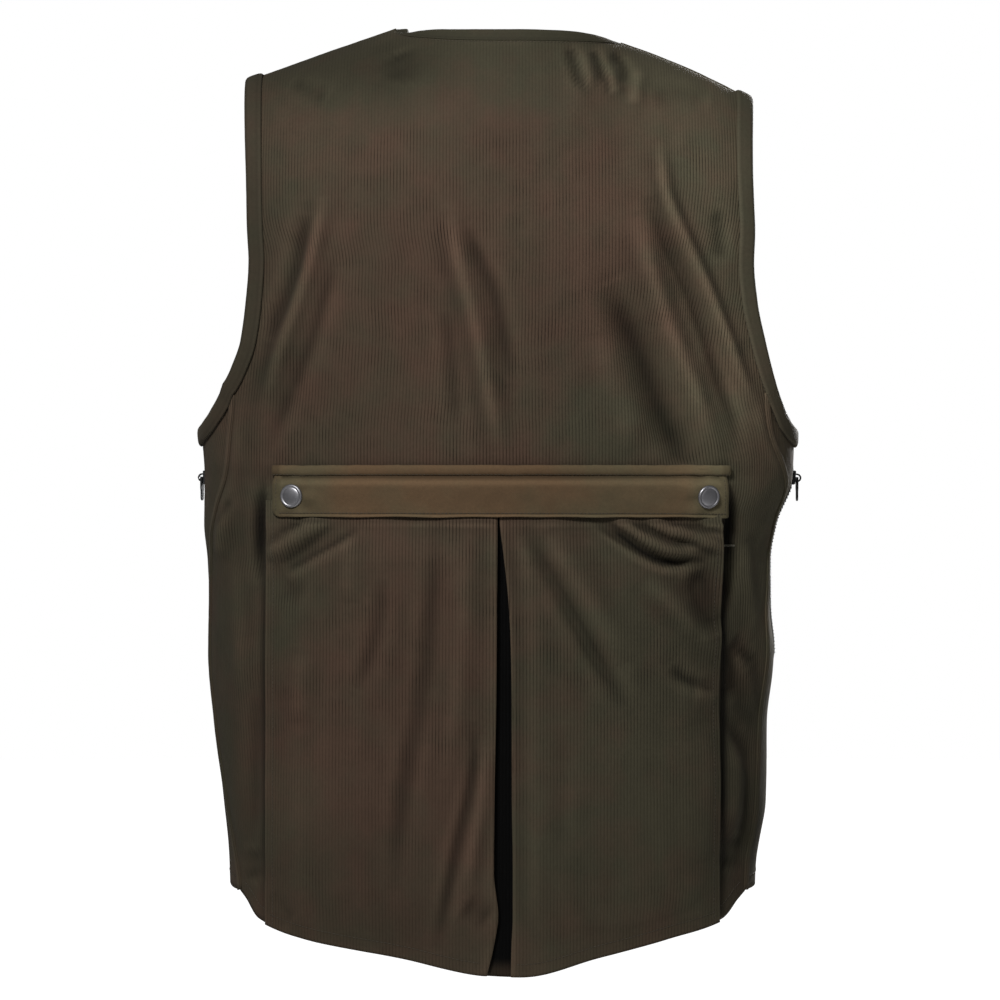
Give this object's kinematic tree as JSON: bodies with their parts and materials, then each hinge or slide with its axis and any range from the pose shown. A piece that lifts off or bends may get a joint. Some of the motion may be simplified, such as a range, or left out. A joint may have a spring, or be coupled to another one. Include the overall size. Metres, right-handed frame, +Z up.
{
  "type": "hunting vest",
  "caption": "Worn-form hunting vest of corded cloth with bound neck and armholes, a pleated back pocket under a snapped flap, a zipped front and zipped hand pockets.",
  "frame": {"origin": "centre of the worn vest, level with the side neck points, where the wearer's neck rises from the shoulders", "axes": "+Z up the wearer's body, +Y out of the wearer's chest, +X to the wearer's right"},
  "size_m": [0.4737, 0.2656, 0.7283],
  "materials": {
    "rib_cloth": "fine vertical cord, matt",
    "edge_band": "bound and topstitched, matt",
    "flap_cloth": "plain weave, matt",
    "zip_tape": "woven tape",
    "zip_metal": "black painted",
    "snap_metal": "dark nickel"
  },
  "bodies": {
    "vest": {"back_panel": "rib_cloth", "front_left": "rib_cloth", "front_right": "rib_cloth", "game_pocket": "rib_cloth", "neck_band": "edge_band", "armhole_band_left": "edge_band", "armhole_band_right": "edge_band", "pocket_flap": "flap_cloth", "pocket_welt": "flap_cloth", "zip_tape_front_left": "zip_tape", "zip_tape_front_right": "zip_tape", "zip_chain_front": "zip_tape", "zip_tape_left": "zip_tape", "zip_chain_left": "zip_tape", "zip_tape_right": "zip_tape", "zip_chain_right": "zip_tape", "zip_slider_front": "zip_metal", "zip_slider_left": "zip_metal", "zip_slider_right": "zip_metal", "snap_cap_left": "snap_metal", "snap_cap_right": "snap_metal"},
    "front_tab": {"zip_tab_front": "zip_metal"},
    "left_tab": {"zip_tab_left": "zip_metal"},
    "right_tab": {"zip_tab_right": "zip_metal"}
  },
  "joints": [
    {"name": "front_tab_swing", "type": "hinge", "parent": "vest", "child": "front_tab", "pos_m": [0, 0.13488, -0.25536], "axis": [1, 0, 0], "range_deg": [0, 150]},
    {"name": "left_tab_swing", "type": "hinge", "parent": "vest", "child": "left_tab", "pos_m": [-0.23194, 0.02695, -0.35029], "axis": [0.2162, 0.9763, 0], "range_deg": [0, 150]},
    {"name": "right_tab_swing", "type": "hinge", "parent": "vest", "child": "right_tab", "pos_m": [0.23487, 0.01295, -0.3507], "axis": [0.0896, -0.996, 0], "range_deg": [0, 150]}
  ]
}
